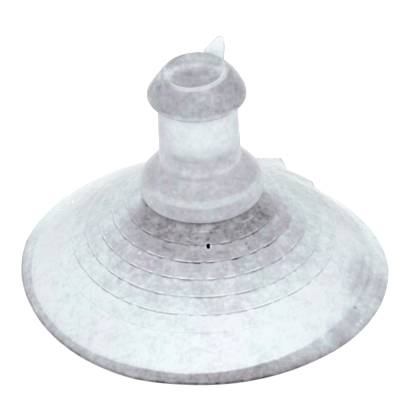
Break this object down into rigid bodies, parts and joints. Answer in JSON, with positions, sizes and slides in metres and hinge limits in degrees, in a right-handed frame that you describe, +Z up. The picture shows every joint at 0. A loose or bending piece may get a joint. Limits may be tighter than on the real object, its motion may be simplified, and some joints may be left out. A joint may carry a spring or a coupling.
{
  "type": "suction cup",
  "caption": "Clear one-piece suction cup with a terraced conical skirt, stepped hub, round neck and dished mushroom head for keyhole slots, hooks and wires.",
  "frame": {"origin": "centre of the lip's footprint, on the plane that the sealing land rests on", "axes": "+Z up along the stem towards the head, -Y towards the camera, +X to the camera's right"},
  "size_m": [0.0444, 0.0449, 0.0289],
  "materials": {
    "clear_soft_pvc": "clear, slightly milky soft PVC, glossy as moulded"
  },
  "bodies": {
    "root": {"suction_cup": "clear_soft_pvc"}
  },
  "joints": []
}
